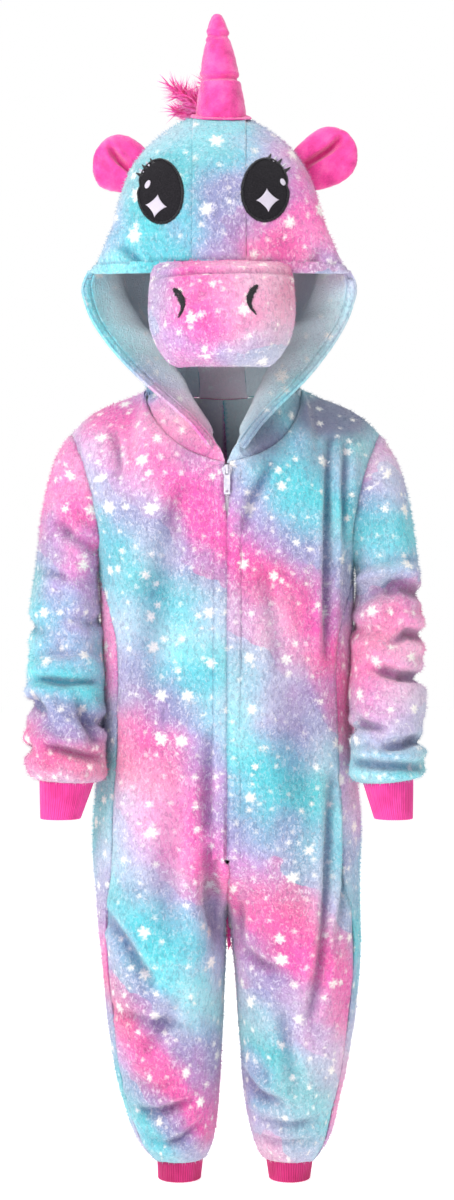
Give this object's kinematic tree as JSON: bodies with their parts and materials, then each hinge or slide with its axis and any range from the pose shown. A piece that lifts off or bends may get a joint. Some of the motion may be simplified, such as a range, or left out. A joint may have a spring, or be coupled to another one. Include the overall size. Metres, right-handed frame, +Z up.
{
  "type": "unicorn onesie",
  "caption": "Hooded fleece one-piece costume with a stuffed horn, ears and muzzle, a mane, a tail, ribbed cuffs and a front zip with a swinging pull tab.",
  "frame": {"origin": "middle of the neck, level with the top of the shoulders, where the wearer holds the garment", "axes": "+Z up along the standing wearer, -Y the way the garment faces, +X to the wearer's left"},
  "size_m": [0.4715, 0.3583, 1.3854],
  "materials": {
    "fleece_print": "soft short-pile fleece, printed in bands of pink, lilac and turquoise with white stars",
    "rib_knit": "pink rib knit",
    "pink_plush": "bright pink plush, long pile on the mane and tail",
    "black_felt": "black felt with white and grey stitching",
    "zip_tape": "woven white tape",
    "zip_metal": "white enamel"
  },
  "bodies": {
    "garment": {"ankle_cuff_left": "rib_knit", "ankle_cuff_right": "rib_knit", "back_left": "fleece_print", "back_right": "fleece_print", "ear_left": "pink_plush", "ear_right": "pink_plush", "eye_left": "black_felt", "eye_right": "black_felt", "front_left": "fleece_print", "front_right": "fleece_print", "hood_band_left": "fleece_print", "hood_band_right": "fleece_print", "hood_crown": "fleece_print", "hood_side_left": "fleece_print", "hood_side_right": "fleece_print", "horn": "pink_plush", "horn_collar": "pink_plush", "mane": "pink_plush", "muzzle": "fleece_print", "placket_left": "fleece_print", "placket_right": "fleece_print", "sleeve_left": "fleece_print", "sleeve_right": "fleece_print", "tail": "pink_plush", "wrist_cuff_left": "rib_knit", "wrist_cuff_right": "rib_knit", "zip_slider": "zip_metal", "zip_tape_left": "zip_tape", "zip_tape_right": "zip_tape"},
    "pull_tab": {"pull_tab": "zip_metal"}
  },
  "joints": [
    {"name": "pull_tab_swing", "type": "hinge", "parent": "garment", "child": "pull_tab", "pos_m": [0, -0.10645, -0.083], "axis": [-1, 0, 0], "range_deg": [0, 150]}
  ]
}
